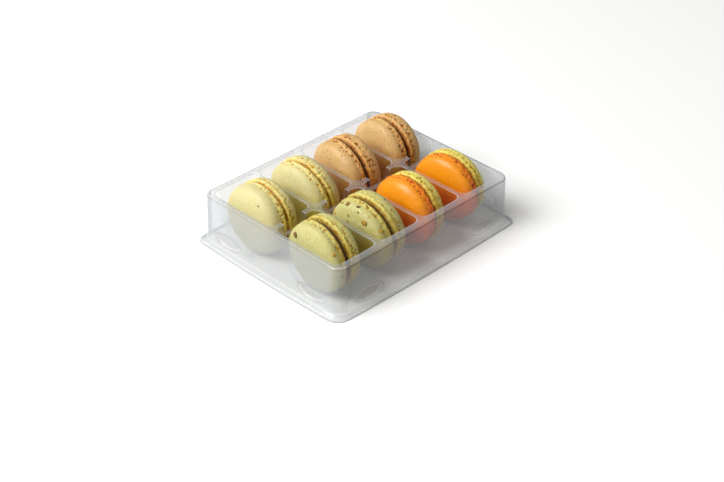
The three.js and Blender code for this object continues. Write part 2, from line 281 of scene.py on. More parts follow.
def smooth_lower(a, b, blend):
    """The lower of two heights, rounded over a band of the given height where they cross."""
    near = np.clip(blend - np.abs(a - b), 0, None) / blend
    return np.minimum(a, b) - near * near * blend / 4


def cell_edge(slot):
    """The outline that a pocket's deck reaches to: halfway to its neighbours, or the deck's own edge.
    Returns each line's place from the pocket's middle, and whether it meets a round corner."""
    low_x, high_x = (sign * pocket_pitch / 2 if 0 <= slot + sign < pockets_per_row
                     else sign * flat_x - pocket_middle(slot) for sign in (-1, 1))
    low_y, high_y = -row_offset, flat_y - row_offset
    reach = np.maximum(np.abs(face_x), np.abs(face_y))
    over_x = np.where(face_x < 0, low_x + straight_x, np.where(face_x > 0, high_x - straight_x, 0))
    over_y = np.where(face_y < 0, low_y + straight_y, high_y - straight_y)
    x = along + over_x * np.abs(face_x) / reach
    y = share * straight_y + over_y * np.abs(face_y) / reach
    rounded = np.zeros(len(x), bool)
    if slot in (0, pockets_per_row - 1):
        sign = -1 if slot == 0 else 1
        rounded = (along == sign * straight_x) & (share == 1.0)
        centre_x = (low_x if slot == 0 else high_x) - sign * flat_corner
        x = np.where(rounded, centre_x + flat_corner * face_x, x)
        y = np.where(rounded, high_y - flat_corner + flat_corner * face_y, y)
    return x, y, rounded


def tray_pocket(slot, row):
    """One pocket with its share of the deck, as rings from the middle of its bottom, up the cradle's arc
    and the upper wall, over the lip and out along the deck. Where it passes the saddle it is cut down
    to the saddle's trough, with a rounded crossing. Returns points, quads and marks: how hazy the film
    is, where folds get a painted highlight and painted shade, and the distance from a snap dent's mouth
    and floor."""
    flat_angle = math.acos((cradle_centre - film) / cradle_radius)
    rings = []
    for angle in flat_angle + (math.pi / 2 - flat_angle) * np.linspace(0, 1, cradle_rings):
        z = cradle_centre - cradle_radius * math.cos(angle)
        rounding = bottom_rounding * (1 - math.sin(angle)) ** 2
        half_x = cradle_base / 2 + pocket_draft / 2 * z / deck_height - rounding
        half_y = cradle_radius * math.sin(angle)
        corner = min(mouth_corner + corner_growth * (deck_height - z), corner_share_x * half_x,
                     corner_share_y * half_y)
        rings.append((pocket_ring(half_x, half_y, corner), z))
    lip_start = deck_height - lip_fold
    lip_half_y = mouth_width / 2 - lip_inset
    for part in wall_rings:
        z = cradle_centre + part * (lip_start - cradle_centre)
        half_x = cradle_base / 2 + pocket_draft / 2 * z / deck_height
        corner = mouth_corner + corner_growth * (deck_height - z)
        rings.append((pocket_ring(half_x, cradle_radius + part * (lip_half_y - cradle_radius), corner), z))
    for angle in np.linspace(0, math.pi / 2, len(lip_glints) + 1)[1:]:
        out = lip_flare * (1 - math.cos(angle))
        rings.append((pocket_ring(half_x + out, lip_half_y + out, corner + out),
                      lip_start + lip_fold * math.sin(angle)))
    edge_x, edge_y = cell_edge(slot)[:2]
    edge = together(edge_x, edge_y)
    lip = rings[-1][0]
    rings += [((1 - part) * lip + part * edge, deck_height) for part in deck_rings]
    floor, floor_height = rings[0]
    spine = together(np.clip(floor[:, 0], -spine_half, spine_half), np.zeros(len(floor)))
    bottom = [((1 - part) * floor + part * spine, floor_height) for part in bottom_rings]
    rings, heights = (np.array(part) for part in zip(*bottom, *rings))
    x, y = rings[..., 0], rings[..., 1]
    z = np.broadcast_to(heights[:, None], x.shape)

    facing_saddle = (share == -1.0)[None, :] & (y < 0)
    trough = saddle_height(x)
    # Painted highlights along the saddle's trough and up beside it
    along_trough = trough_glint * np.exp(-((z - trough) / trough_glint_width) ** 2)
    up_post = post_glint * np.exp(-((np.abs(x) - post_glint_at) / post_glint_width) ** 2)
    up_post = up_post * np.clip((z - post_glint_foot) / post_glint_rise, 0, 1)
    saddle_glint = np.where(facing_saddle, np.maximum(along_trough, up_post), 0)
    steep = facing_saddle & (z > saddle_floor) & (np.abs(np.abs(x) - saddle_half) < clear_wall_band)
    z = np.where(facing_saddle, smooth_lower(z, trough, saddle_fold), z)
    points = together(pocket_middle(slot) + x, row * (row_offset + y), z)

    at_border = np.abs(edge_x + pocket_middle(slot)) > flat_x - 0.01
    at_border |= edge_y + row_offset > flat_y - 0.01
    below_lip = np.zeros(len(rings) - len(lip_glints) - len(deck_rings))
    up_lip = np.linspace(0, 1, len(lip_glints) + 1)[1:]
    rise = np.concatenate([below_lip, up_lip, np.ones(len(deck_rings))])[:, None]
    lip_glint = np.concatenate([below_lip, lip_glints, np.zeros(len(deck_rings))])[:, None]
    lip_glint = np.where(facing_saddle & (trough < deck_height - lip_glint_ends), 0, lip_glint)
    outer_wall = at_border & ((row == 1) | (np.abs(face_x) > 0.7))
    haze = rise * np.where(at_border, border_haze, plate_haze)
    haze = haze + (1 - rise) * np.where(outer_wall, outer_wall_haze, 0.0)
    far = np.full(z.shape, far_from_dent)
    marks = dict(haze=np.where(steep, 0.0, haze), light=np.maximum(lip_glint, saddle_glint),
                 dark=0 * z, mouth=far, floor=far)
    return points, grid_quads(len(rings), len(along), True), marks


def oval_reach(distance_along, z, oval):
    """Distance from an oval's middle: 1 all along its outline. oval is half length, half height, level."""
    half_length, half_height, level = oval
    reach = np.sqrt((distance_along / half_length) ** 2 + ((z - level) / half_height) ** 2)
    return np.minimum(reach, far_from_dent)


def dent_hollow(distance_along, z):
    """How far a snap dent sinks in: it slopes from its wide oval mouth down to a smaller, lower floor."""
    to_mouth = np.clip(1 - oval_reach(distance_along, z, dent_mouth), 0, None)
    to_floor = np.clip(oval_reach(distance_along, z, dent_floor) - 1, 0, None)
    return dent_depth * to_mouth / (to_mouth + to_floor + 1e-6)


def tray_skirt(slot, row):
    """The fold, skirt, ledge and lip below one pocket's stretch of the deck's edge, as rows that follow
    the edge. Each row is the corner-less core outline moved outwards; the rim also bows out. Returns
    points, quads and the same marks as a pocket."""
    x, y, rounded = cell_edge(slot)
    x, y = pocket_middle(slot) + x, row_offset + y
    on_long = np.abs(y - flat_y) < 1e-6
    on_short = np.abs(np.abs(x) - flat_x) < 1e-6
    chosen = on_long | on_short | rounded
    order = np.arange(len(x))
    start = order[chosen & ~np.roll(chosen, 1)][0]
    order = np.roll(order, -start)[: chosen.sum()]
    x, y, rounded, on_long = x[order], y[order], rounded[order], on_long[order]
    normal_x = np.where(rounded, face_x[order], np.where(on_long, 0.0, np.sign(x)))
    normal_y = np.where(rounded, face_y[order], np.where(on_long, 1.0, 0.0))
    core_x, core_y = flat_x - flat_corner, flat_y - flat_corner
    inner_x, inner_y = np.clip(x, -core_x, core_x), np.clip(y, -core_y, core_y)
    inner_x = np.where(np.abs(normal_x) > 0.999, np.sign(x) * core_x, inner_x)
    inner_y = np.where(np.abs(normal_y) > 0.999, core_y, inner_y)
    rim_core_x, rim_core_y = rim_length / 2 - rim_corner, rim_width / 2 - rim_corner
    along_side = np.where(rounded, 1.0, np.where(on_long, inner_x / core_x, inner_y / core_y))
    bow = rim_bow * (1 - along_side ** 2)
    dent_along = np.where(on_long, np.abs(x) - dent_on_long_side, np.abs(y) - dent_on_short_side)

    def outline(out, z):
        return together(inner_x + normal_x * out, inner_y + normal_y * out, np.full(len(x), z))

    def wall(z, extra=0.0):
        out = flat_corner + fold_radius + wall_draft * (deck_height - z) + extra
        return outline(out - np.where(rounded, 0.0, dent_hollow(dent_along, z)), z)

    def rim(z, extra):
        out = rim_corner + bow + extra
        rim_x = inner_x * rim_core_x / core_x + normal_x * out
        rim_y = inner_y * rim_core_y / core_y + normal_y * out
        if slot == 0 and row == -1:
            from_x = -(rim_length / 2 - near_rim_corner) - rim_x
            from_y = rim_y - (rim_width / 2 - near_rim_corner)
            reach = np.where((from_x > 0) & (from_y > 0), np.hypot(from_x, from_y), 0)
            pull = np.minimum(1, (near_rim_corner + extra) / np.clip(reach, 1e-6, None))
            rim_x, rim_y = rim_x + (1 - pull) * from_x, rim_y - (1 - pull) * from_y
        return together(rim_x, rim_y, np.full(len(x), z))

    rows = []
    # The fold: a painted highlight high on it, stronger at the round corners, and painted shade lower down.
    for angle in np.linspace(0, math.pi / 2, fold_rows + 1)[:-1]:
        turn = outline(flat_corner + fold_radius * math.sin(angle),
                       deck_height - fold_radius * (1 - math.cos(angle)))
        glint = math.exp(-((math.degrees(angle) - fold_glint_at) / fold_mark_width) ** 2)
        shadow = math.exp(-((math.degrees(angle) - fold_shadow_at) / fold_mark_width) ** 2)
        rows.append((turn, border_haze + (1 - border_haze) * math.sin(angle),
                     glint * np.where(rounded, corner_fold_glint, side_fold_glint),
                     shadow * np.where(on_long, 1.0, short_fold_shadow)))
    rows += [(wall(z), 1.0, 0.0, 0.0) for z in wall_levels]
    rows += [(wall(z, out), *look) for z, out, *look in foot_rows]
    rows.append(((rows[-1][0] + rim(*rim_rows[0][:2])) / 2, ledge_haze, 0.0, 0.0))
    rows += [(rim(z, out), *look) for z, out, *look in rim_rows]
    points, *looks = zip(*rows)
    points = np.array(points)
    level = points[..., 2]
    mouth = np.where(rounded, far_from_dent, oval_reach(dent_along, level, dent_mouth))
    floor = np.where(rounded, far_from_dent, oval_reach(dent_along, level, dent_floor))
    haze, light, dark = (np.array([value + 0 * x for value in look]) for look in looks)
    # Painted shade on the dents' floors, stronger on the long sides
    dark = np.where(floor < 0.95, np.where(on_long, long_dent_shadow, short_dent_shadow), dark)
    side_haze = np.where(on_long, far_wall_haze if row == 1 else near_wall_haze, short_side_haze)
    haze = haze * np.where(level > wall_foot, side_haze, 1.0)
    points[..., 1] *= row
    marks = dict(haze=haze, light=light, dark=dark, mouth=mouth, floor=floor)
    return points, grid_quads(len(rows), len(x), False), marks


def linear(red, green, blue):
    """A colour given as 0 to 255 screen values, as Blender's linear numbers."""
    screen = np.array([red, green, blue]) / 255
    light = np.where(screen <= 0.04045, screen / 12.92, ((screen + 0.055) / 1.055) ** 2.4)
    return (*light.tolist(), 1.0)


class ShaderTree:
    """Short ways to add nodes to a shader tree. Inputs take numbers, colours or other nodes' outputs."""

    def __init__(self, tree):
        self.nodes, self.links = tree.nodes, tree.links

    def add(self, kind, **settings):
        node = self.nodes.new(kind)
        for key, value in settings.items():
            setattr(node, key, value)
        return node

    def put(self, socket, value):
        if isinstance(value, bpy.types.NodeSocket):
            self.links.new(value, socket)
        else:
            socket.default_value = value

    def give(self, node, **inputs):
        for key, value in inputs.items():
            self.put(node.inputs[key.replace("_", " ")], value)
        return node

    def maths(self, operation, *values):
        node = self.add("ShaderNodeMath", operation=operation)
        for socket, value in zip(node.inputs, values):
            self.put(socket, value)
        return node.outputs[0]

    def mark(self, name):
        """A number that the mesh has on its points."""
        return self.add("ShaderNodeAttribute", attribute_name=name).outputs["Fac"]

    def where(self):
        return self.add("ShaderNodeTexCoord").outputs["Object"]

    def noise(self, scale, detail=3.0, rough=0.5):
        node = self.give(self.add("ShaderNodeTexNoise"), Vector=self.where(), Scale=scale, Detail=detail,
                         Roughness=rough)
        return node.outputs["Fac"]

    def ramp(self, value, low, high, out_low=0.0, out_high=1.0):
        """Carries the span from low to high over to the one from out_low to out_high."""
        node = self.give(self.add("ShaderNodeMapRange"), Value=value, From_Min=low, From_Max=high,
                         To_Min=out_low, To_Max=out_high)
        return node.outputs["Result"]

    def blend(self, amount, first, second, **settings):
        node = self.add("ShaderNodeMix", data_type="RGBA", **settings)
        return self.give(node, Factor=amount, A=first, B=second).outputs["Result"]


class Finish(ShaderTree):
    """A new material with its Principled shader."""

    def __init__(self, name, **inputs):
        self.material = bpy.data.materials.new(name)
        self.material.use_nodes = True
        super().__init__(self.material.node_tree)
        self.nodes.clear()
        self.shader = self.add("ShaderNodeBsdfPrincipled")
        self.give(self.add("ShaderNodeOutputMaterial"), Surface=self.shader.outputs[0])
        self.set(**inputs)

    def set(self, **inputs):
        self.give(self.shader, **inputs)

    def relief(self, height, distance, strength=1.0):
        """Fine relief, where a height of 1 stands for the distance in millimetres."""
        bump = self.give(self.add("ShaderNodeBump"), Height=height, Distance=distance * MM,
                         Strength=strength)
        self.set(Normal=bump.outputs["Normal"])


tray_patches = []
for slot in range(pockets_per_row):
    for row in (-1, 1):
        tray_patches += [tray_pocket(slot, row), tray_skirt(slot, row)]
tray_marks = {key: np.concatenate([np.ravel(patch[2][key]) for patch in tray_patches])
              for key in tray_patches[0][2]}
tray = make_piece("tray", tray_patches, up=True, **tray_marks)
thickness = tray.modifiers.new("film", "SOLIDIFY")
thickness.thickness = film * MM
thickness.offset = -1.0
tray_solids = [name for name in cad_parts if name.startswith(("skirt", "deck", "pocket", "saddle"))]
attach(tray, "root")
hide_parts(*tray_solids)

# How much of what lies behind it the film hides: a part that grows as it turns edge on, and a part
# that stays. Stretched film is nearly clear and milky film is not. It holds back less of the lamp's
# light than of the view. Then its lines, as thinness and strength: a painted highlight round each
# dent's floor and painted shade round its mouth. Then its colours: its own grey, the painted
# highlight and the brown painted shade.
stretched_cover, stretched_falloff = (0.32, 0.005), 4.0
milky_cover = (0.36, 0.28)
light_line_cover, dark_line_cover = 0.35, 0.5
lets_light_through = 0.38
dent_floor_line, dent_mouth_line = (12.0, 0.4), (14.0, 0.35)
film_grey, film_glint, film_shadow = linear(167, 173, 178), linear(238, 240, 242), linear(116, 92, 62)
glint_share = 0.45

clear_film = Finish("clear_film", Roughness=0.22, IOR=1.5)
maths = clear_film.maths


def outline_of(mark, thinness, strength):
    """A thin line where the distance from an oval is 1."""
    off = maths("ABSOLUTE", maths("SUBTRACT", clear_film.mark(mark), 1.0))
    return maths("MULTIPLY", maths("MAXIMUM", maths("MULTIPLY_ADD", off, -thinness, 1.0), 0.0), strength)


slant = clear_film.give(clear_film.add("ShaderNodeLayerWeight"), Blend=0.5).outputs["Facing"]
cover = clear_film.give(
    clear_film.add("ShaderNodeMix", clamp_factor=False), Factor=clear_film.mark("haze"),
    A=maths("MULTIPLY_ADD", maths("POWER", slant, stretched_falloff), *stretched_cover),
    B=maths("MULTIPLY_ADD", slant, *milky_cover)).outputs["Result"]
# Painted highlights whiten the film along folds, and painted shade turns it brown; both hide more.
painted_highlight_line = maths("MAXIMUM", clear_film.mark("light"), outline_of("floor", *dent_floor_line))
painted_shade_line = maths("MAXIMUM", clear_film.mark("dark"), outline_of("mouth", *dent_mouth_line))
cover = maths("MULTIPLY_ADD", painted_highlight_line, light_line_cover, cover)
cover = maths("MULTIPLY_ADD", painted_shade_line, dark_line_cover, cover)
shade = clear_film.add("ShaderNodeLightPath").outputs["Is Shadow Ray"]
cover = maths("MULTIPLY", cover, maths("MULTIPLY_ADD", shade, -lets_light_through, 1.0))
leaving = clear_film.add("ShaderNodeNewGeometry").outputs["Backfacing"]
tint = clear_film.blend(maths("MULTIPLY", painted_highlight_line, glint_share), film_grey, film_glint)
clear_film.set(Alpha=maths("MULTIPLY", cover, maths("SUBTRACT", 1.0, leaving)),
               Base_Color=clear_film.blend(painted_shade_line, tint, film_shadow))
tray.data.materials.append(clear_film.material)


# The macaron shells
# Each is a piped disc of almond meringue: a smooth dome with a skin, a ruffled foot full of burst
# bubbles round its edge, and a flat inner face that sits on the filling.
foot_height = 3.3
foot_overhang = 0.6
foot_tuck = 1.2
foot_hollow = 0.15
dome_inset = 0.3
shell_gap = 0.12
tuck_curve, bulge_curve = 2.6, 0.7

# Burst bubbles: their spacing with their smallest and largest radius, how deep they are, how far up
# the dome they reach, and how much they colour
foot_bubbles, foot_pores, dome_craters = (1.9, 0.4, 1.35), (0.9, 0.15, 0.5), (2.0, 0.35, 1.2)
hole_depth = 0.5
pore_depth = 0.25
crater_reach = 5.0
hole_stain, pore_stain = 1.7, 0.9

# Unevenness, as depth and spacing: of the dome, the foot and its end, the patches with craters, and the
# frill and the patches of crumbs and painted shade at the seam. Then the slow wave round the outline.
dome_lumps, dome_waves, dome_dimples = (0.2, 9.0), (0.07, 3.2), (0.04, 1.1)
coarse_ruffle, fine_ruffle, foot_end_wave = (1.0, 1.6), (0.6, 0.8), (0.2, 1.7)
crater_patches, frill_wave, seam_crumbs = (1.0, 3.5), (1.0, 1.5), (0.4, 1.3)
outline_wave = 0.25

# The foot, as shares of its height: its end, the bubbles' band and the frill at the seam. Then how far
# the frill reaches everywhere, how strong the ruffles are, and how much stronger in the band.
foot_end, foot_fade = 1.15, 0.3
band_middle, band_width = 0.85, 0.42
frill_height, even_frill = 0.6, 0.3
plain_ruffle, band_ruffle = 0.12, 0.26

# How finely a shell is divided: round it, along its foot, and along the lower and upper dome
around = 320
inner_insets = (5.0, 3.0, 1.8)
foot_steps = 17
lower_dome, lower_steps, upper_steps = 0.55, 18, 25

# Two yellow and two brown macarons in the back row, then two green and two orange in front: how each
# stands in its pocket, and its sizes. front and back are how far the domes reach from the middle of the
# seam, and a higher fullness gives a flatter dome with a rounder shoulder.
macarons = [
    dict(shift=(0.6, -0.5), centre=24.0, lean=-1.5, turn=1.0, radius=23.0,
         front=14.4, back=11.9, seam=1.4, fullness=3.1),
    dict(shift=(-0.5, -0.2), centre=25.1, lean=7.2, turn=1.8, radius=23.4,
         front=13.2, back=13.8, seam=1.4, fullness=2.5),
    dict(shift=(0.0, -0.4), centre=25.2, lean=4.8, turn=-5.9, radius=23.0,
         front=13.9, back=14.1, seam=2.4, fullness=3.3),
    dict(shift=(0.4, 0.3), centre=25.2, lean=1.3, turn=-2.7, radius=23.05,
         front=12.6, back=14.4, seam=2.4, fullness=3.2),
    dict(shift=(-1.5, -0.1), centre=24.0, lean=1.8, turn=-1.7, radius=22.8,
         front=12.3, back=13.1, seam=3.4, fullness=3.3),
    dict(shift=(-1.3, -0.7), centre=24.5, lean=6.5, turn=1.8, radius=22.9,
         front=12.6, back=14.2, seam=2.8, fullness=3.2),
    dict(shift=(-1.6, -0.7), centre=23.8, lean=1.4, turn=1.6, radius=22.8,
         front=13.0, back=13.0, seam=1.4, fullness=2.6),
    dict(shift=(-1.9, -0.4), centre=24.3, lean=1.8, turn=7.5, radius=23.0,
         front=11.4, back=12.4, seam=1.4, fullness=2.7),
]
for number, macaron in enumerate(macarons):
    kind = ("yellow", "brown", "green", "amber")[number // 2]
    macaron.update(kind=kind, name=f"{kind}_{'ab'[number % 2]}", slot=number % pockets_per_row,
                   row=1 if number < pockets_per_row else -1)


def noise_table(seed):
    return np.random.default_rng(seed).random((32, 32, 32))


def soft_noise(points, size, seed):
    """Smooth noise from -1 to 1: random numbers on a cubic lattice of the given spacing, blended by a
    smooth step in each direction."""
    table = noise_table(seed)
    place = points / size + 97.3
    cell = np.floor(place).astype(int)
    part = place - cell
    part = part * part * (3 - 2 * part)
    total = np.zeros(points.shape[:-1])
    for corner in range(8):
        step = np.array([corner & 1, (corner >> 1) & 1, corner >> 2])
        weight = np.prod(np.where(step, part, 1 - part), axis=-1)
        index = (cell + step) % 32
        total += weight * table[index[..., 0], index[..., 1], index[..., 2]]
    return 2 * total - 1


def bumps(points, relief, seed):
    """Smooth noise with a relief's depth and spacing."""
    depth, spacing = relief
    return depth * soft_noise(points, spacing, seed)


def burst_bubbles(points, seed, size, small, large):
    """How deep each point lies in a burst bubble, from 0 at its edge to 1 at its middle. Each cube of the
    given size holds one bubble at a random place, with a radius from small to large, mostly small."""
    tables = [noise_table(seed + k) for k in range(4)]
    place = points / size + 53.7
    cell = np.floor(place).astype(int)
    deepest = np.zeros(points.shape[:-1])
    for step in np.ndindex(3, 3, 3):
        other = cell + np.array(step) - 1
        index = other % 32
        draw = [table[index[..., 0], index[..., 1], index[..., 2]] for table in tables]
        radius = small + (large - small) * draw[3] ** 2
        away = np.linalg.norm(other + together(*draw[:3]) - place, axis=-1) * size
        deepest = np.maximum(deepest, 1 - away / radius)
    return deepest


def surface_normals(points):
    """Unit normals of a closed grid of rows and columns, from its neighbours' differences."""
    across = np.roll(points, -1, axis=1) - np.roll(points, 1, axis=1)
    return unit(np.cross(across, np.gradient(points, axis=0)))


def stand(points, macaron):
    """Carries points from a macaron's own frame, with its axis along X, to its place in its pocket."""
    lean = Matrix.Rotation(math.radians(-macaron["lean"]), 3, "Y")
    turn = Matrix.Rotation(math.radians(macaron["turn"]), 3, "Z")
    rotation = np.array(turn @ lean)
    place = np.array([pocket_middle(macaron["slot"]) + macaron["shift"][0],
                      macaron["row"] * row_offset + macaron["shift"][1], macaron["centre"]])
    return points @ rotation.T + place


def outline_push(angle, share, seed):
    """A piped disc is not a true circle: two slow waves run round its outline."""
    return outline_wave * share * (np.sin(2 * angle + seed) + 0.6 * np.sin(3 * angle + 2 * seed))


# How far the shells' lower edges reach over the filling
closing = {"yellow": 0.6, "brown": 0.3, "green": 0.38, "amber": 0.9}


def shell_profile(macaron, thickness):
    """Half a shell's section as rows of distance from the axis and height along it: the flat inner face,
    the foot, tucked in below and bulging above, and a superellipse dome. Also returns the numbers of the
    foot's first and last rows."""
    radius, low, fullness = macaron["radius"], macaron["seam"] / 2, macaron["fullness"]
    start = low + foot_height
    inner = [(0.0, low), (0.5 * radius, low)] + [(radius - inset, low) for inset in inner_insets]
    level = np.linspace(0, 1, foot_steps)
    bulge = foot_overhang * np.sin(math.pi * level ** bulge_curve)
    tuck = foot_tuck * (1 - level) ** tuck_curve + dome_inset - bulge
    foot = together(radius - tuck, low + foot_height * level)
    lower = np.arcsin(np.linspace(0, lower_dome, lower_steps)[1:] ** (fullness / 2))
    bend = np.concatenate([lower, np.linspace(lower[-1], math.pi / 2, upper_steps)[1:]])
    dome = together((radius - dome_inset) * np.cos(bend) ** (2 / fullness),
                    start + (thickness - start) * np.sin(bend) ** (2 / fullness))
    dome[-1, 0] = 0.0
    return np.concatenate([inner, foot, dome]), len(inner), len(inner) + len(foot) - 1


def shell_surface(macaron, thickness, cratered, seed, salt):
    """A shell about the X axis: its profile carried round. The foot is pushed in and out by noise, and
    burst bubbles lie in a band where it meets the dome; as far as the shell is cratered, more burst
    through the dome's skin near it. Its lower edge frills towards the filling. Each noise is seeded by
    salt and a number of its own. Returns points, quads, and how much of each point is foot and pit."""
    low = macaron["seam"] / 2
    start = low + foot_height
    profile, first_foot, last_foot = shell_profile(macaron, thickness)
    angle = full_turn(around)
    distance = profile[:, :1] + np.zeros(around)
    height = profile[:, 1:] + np.zeros(around)
    distance = distance + outline_push(angle, distance / macaron["radius"], seed) * (distance > 0)
    points = together(height, distance * np.cos(angle), distance * np.sin(angle))

    rows = np.arange(len(profile))[:, None]
    up_foot = (height - low) / foot_height
    from_edge = np.clip((rows - first_foot + 2) / 4, 0, 1)
    own_end = foot_end - bumps(points, foot_end_wave, salt + 11)
    foot_share = from_edge * np.clip((own_end - up_foot) / foot_fade, 0, 1)
    band = from_edge * np.exp(-((up_foot - band_middle) / band_width) ** 2)
    near_foot = np.clip(1 - (height - start) / crater_reach, 0, 1) * (rows > last_foot)
    dome_share = np.clip((rows - last_foot) / 4, 0, 1)

    ruffle = bumps(points * [0.7, 1, 1], coarse_ruffle, salt + 1) + bumps(points, fine_ruffle, salt + 2)
    burst = burst_bubbles(points, salt + 3, *foot_bubbles) * np.clip(2.2 * band, 0, 1)
    pores = burst_bubbles(points, salt + 6, *foot_pores) * np.clip(0.3 + 1.5 * band, 0, 1) * foot_share
    craters = burst_bubbles(points, salt + 16, *dome_craters)
    keep = np.clip((bumps(points, crater_patches, salt + 10) + 1.15 * cratered - 0.65) / 0.15, 0, 1)
    holes = np.maximum(burst, craters * keep * near_foot ** 0.4)
    lumps = bumps(points, dome_lumps, salt + 4) + bumps(points, dome_waves, salt + 5)
    lumps = lumps + bumps(points, dome_dimples, salt + 8)
    push = (foot_share * ruffle * (plain_ruffle + band_ruffle * band) - foot_hollow * band
            + dome_share * lumps - hole_depth * np.clip(1.5 * holes, 0, 1) - pore_depth * pores)
    outwards = surface_normals(points)
    middle = points.mean(axis=(0, 1))
    outwards *= np.sign(np.sum(outwards * (points - middle), axis=-1, keepdims=True))
    still = (distance > 0.4) & (rows > 1)
    points = points + outwards * (push * still)[..., None]
    frill = np.clip(1 - up_foot / frill_height, 0, 1) * (rows >= first_foot - 1)
    frill = frill * bumps(points, frill_wave, salt + 14)
    reach = closing[macaron["kind"]] * (even_frill * (frill != 0) + frill)
    points[..., 0] = np.maximum(points[..., 0] - reach, shell_gap)
    points[0] = points[0].mean(axis=0)
    points[-1] = points[-1].mean(axis=0)
    valley = foot_share * band * np.clip(-0.5 * ruffle - 0.15, 0, 0.35)
    # Patches near the seam take the pit colour: crumbs, and painted shade in the gap by the filling.
    crumbled = 0.5 + bumps(points, seam_crumbs, salt + 15)
    crumbs_and_painted_shade = crumbled * np.clip((first_foot + 4 - rows) / 3, 0, 1)
    pit = np.max([valley, crumbs_and_painted_shade, hole_stain * holes, pore_stain * pores], axis=0)
    foot_mark = np.clip(foot_share + 0.5 * near_foot ** 1.5, 0, 1)
    return points, grid_quads(len(profile), around, True), foot_mark, np.clip(pit, 0, 1)


# Patterns in the meringue: noise scales, the values between which specks, crumbs and pits set in, and
# how rough the skin and the foot are
skin_grain, slow_grain = 1050, 130
foot_mottle = 650
speck_spacing = 330
crumb_pattern = 620
fine_relief, low_relief = 1500, 420
speck_edge, crumb_edge, pit_edge = (0.17, 0.11), (0.69, 0.73), (0.06, 0.7)
skin_rough, foot_rough = 0.48, 0.85
meringue_colours = ("Skin", "Skin Shade", "Foot", "Pit", "Speck", "Painted Shade")


def meringue_group():
    """Colour and relief that every shell shares: slow tone changes, a rougher foot, brown burst bubbles,
    scattered specks of two sizes, and painted shade low down, tinted like light bounced off neighbours."""
    group = bpy.data.node_groups.new("meringue", "ShaderNodeTree")
    for way, kind, names in (("INPUT", "Color", meringue_colours),
                             ("INPUT", "Float", ("Speck Amount", "Crumb Amount")),
                             ("OUTPUT", "Color", ("Color",)), ("OUTPUT", "Float", ("Roughness", "Height"))):
        for name in names:
            group.interface.new_socket(name, in_out=way, socket_type=f"NodeSocket{kind}")
    tree = ShaderTree(group)
    maths, noise, ramp, blend = tree.maths, tree.noise, tree.ramp, tree.blend
    given = tree.add("NodeGroupInput").outputs
    foot, pit = tree.mark("foot"), tree.mark("pit")
    grain = maths("MULTIPLY", ramp(noise(skin_grain, 3, 0.65), 0.38, 0.62),
                  ramp(noise(slow_grain, 4), 0.3, 0.7, 0.35, 1.0))
    colour = blend(grain, given["Skin"], given["Skin Shade"])
    mottle = ramp(noise(foot_mottle), 0.35, 0.65, 0.25, 1.0)
    colour = blend(maths("MULTIPLY", foot, mottle), colour, given["Foot"])
    dots = tree.give(tree.add("ShaderNodeTexVoronoi"), Vector=tree.where(), Scale=speck_spacing)
    specks = maths("MULTIPLY", ramp(dots.outputs["Distance"], *speck_edge), given["Speck Amount"])
    colour = blend(specks, colour, given["Speck"])
    crumbs = maths("MULTIPLY", ramp(noise(crumb_pattern, 1, 0.4), *crumb_edge), given["Crumb Amount"])
    colour = blend(maths("MULTIPLY", crumbs, ramp(foot, 0.0, 0.3, 0.25, 1.0)), colour, given["Pit"])
    colour = blend(ramp(pit, *pit_edge), colour, given["Pit"])
    # Painted shade low down, tinted like light bounced off the neighbouring macarons
    colour = blend(tree.mark("sunk"), colour, given["Painted Shade"], blend_type="MULTIPLY")
    relief = maths("MULTIPLY", noise(fine_relief, 3, 0.6), ramp(foot, 0.0, 1.0, 0.5, 1.0))
    tree.give(tree.add("NodeGroupOutput"), Color=colour,
              Roughness=ramp(foot, 0.0, 1.0, skin_rough, foot_rough),
              Height=maths("ADD", relief, maths("MULTIPLY", noise(low_relief, 2), 0.8)))
    return group


meringue = meringue_group()


def shell_finish(name, *colours, specks, crumbs, coat=0.0):
    """A baked shell: the shared meringue effect with this flavour's own colours, and a coat for a shine."""
    finish = Finish(name, IOR=1.42, Specular_IOR_Level=0.45, Subsurface_Weight=0.35,
                    Subsurface_Radius=(1.0, 0.55, 0.15), Subsurface_Scale=1.2 * MM,
                    Coat_Weight=coat, Coat_Roughness=0.3)
    own = {key: linear(*colour) for key, colour in zip(meringue_colours, colours)}
    effect = finish.give(finish.add("ShaderNodeGroup", node_tree=meringue), Speck_Amount=specks,
                         Crumb_Amount=crumbs, **own).outputs
    finish.relief(effect["Height"], 0.25, 0.6)
    finish.set(Base_Color=effect["Color"], Roughness=effect["Roughness"])
    return finish.material


# Each flavour's skin and the skin's second tone, foot, pits, specks and the painted shade that
# multiplies it low down, as screen values, then how many specks and crumbs show, and how far it shines
shell_finishes = {
    "yellow": shell_finish("lemon_shell", (202, 194, 146), (190, 178, 114), (224, 213, 138),
                           (186, 132, 0), (150, 96, 40), (255, 242, 130), specks=0.08, crumbs=0.5),
    "brown": shell_finish("caramel_shell", (204, 170, 116), (182, 140, 80), (216, 170, 104),
                          (148, 80, 8), (98, 60, 30), (244, 206, 118), specks=0.9, crumbs=0.6),
    "green": shell_finish("pistachio_shell", (188, 184, 128), (172, 164, 90), (208, 196, 104),
                          (158, 116, 0), (124, 88, 34), (222, 198, 88), specks=0.25, crumbs=0.6),
    "amber": shell_finish("orange_shell", (226, 146, 0), (216, 126, 0), (230, 130, 0),
                          (170, 60, 0), (176, 70, 10), (236, 166, 70), specks=0.1, crumbs=0.5, coat=0.3),
    "lime": shell_finish("lime_shell", (216, 204, 118), (202, 188, 84), (222, 204, 92),
                         (164, 114, 0), (140, 104, 26), (220, 182, 84), specks=0.1, crumbs=0.5),
}

# How cratered the front and back shells are. The back ones of the orange macarons are lime yellow.
cratered = {"yellow": (0.1, 0.6), "brown": (0.4, 1.0), "green": (0.3, 0.85), "amber": (0.0, 0.9)}

